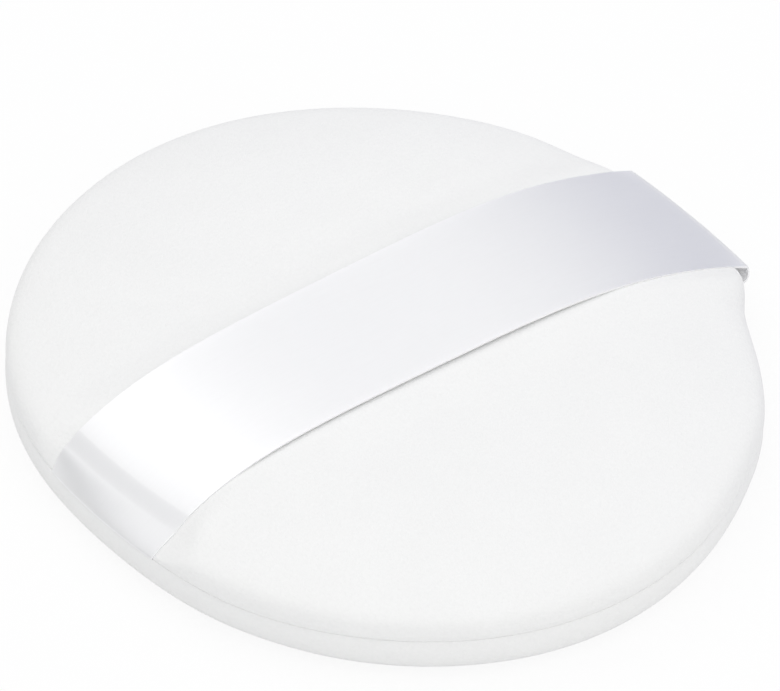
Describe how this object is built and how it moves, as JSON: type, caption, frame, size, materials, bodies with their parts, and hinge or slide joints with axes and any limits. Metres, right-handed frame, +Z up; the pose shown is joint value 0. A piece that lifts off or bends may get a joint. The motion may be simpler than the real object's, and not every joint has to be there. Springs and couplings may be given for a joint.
{
  "type": "powder puff",
  "caption": "Round padded cosmetic powder puff: soft velour pad with a seamed rim and a satin ribbon across its back that lifts to slip fingers under.",
  "frame": {"origin": "middle of the flat face that the pad rests on", "axes": "+X along the ribbon towards its folded end, +Z up through the pad towards the ribbon"},
  "size_m": [0.083, 0.086, 0.0139],
  "materials": {
    "velour": "short-pile white cotton velour",
    "satin": "white satin ribbon with a soft sheen",
    "foam": "open-cell foam, hidden inside the cover",
    "thread": "white sewing thread"
  },
  "bodies": {
    "pad": {"back_panel": "velour", "face_panel": "velour", "foam_core": "foam", "ribbon_near_end": "satin", "ribbon_far_end": "satin", "seam_needle_thread": "thread", "seam_bobbin_thread": "thread", "closing_thread": "thread", "near_tack_thread": "thread", "far_tack_thread": "thread"},
    "ribbon": {"ribbon_band": "satin"}
  },
  "joints": [
    {"name": "ribbon_lift", "type": "slide", "parent": "pad", "child": "ribbon", "axis": [0, 0, 1], "range_m": [0, 0.01]}
  ]
}
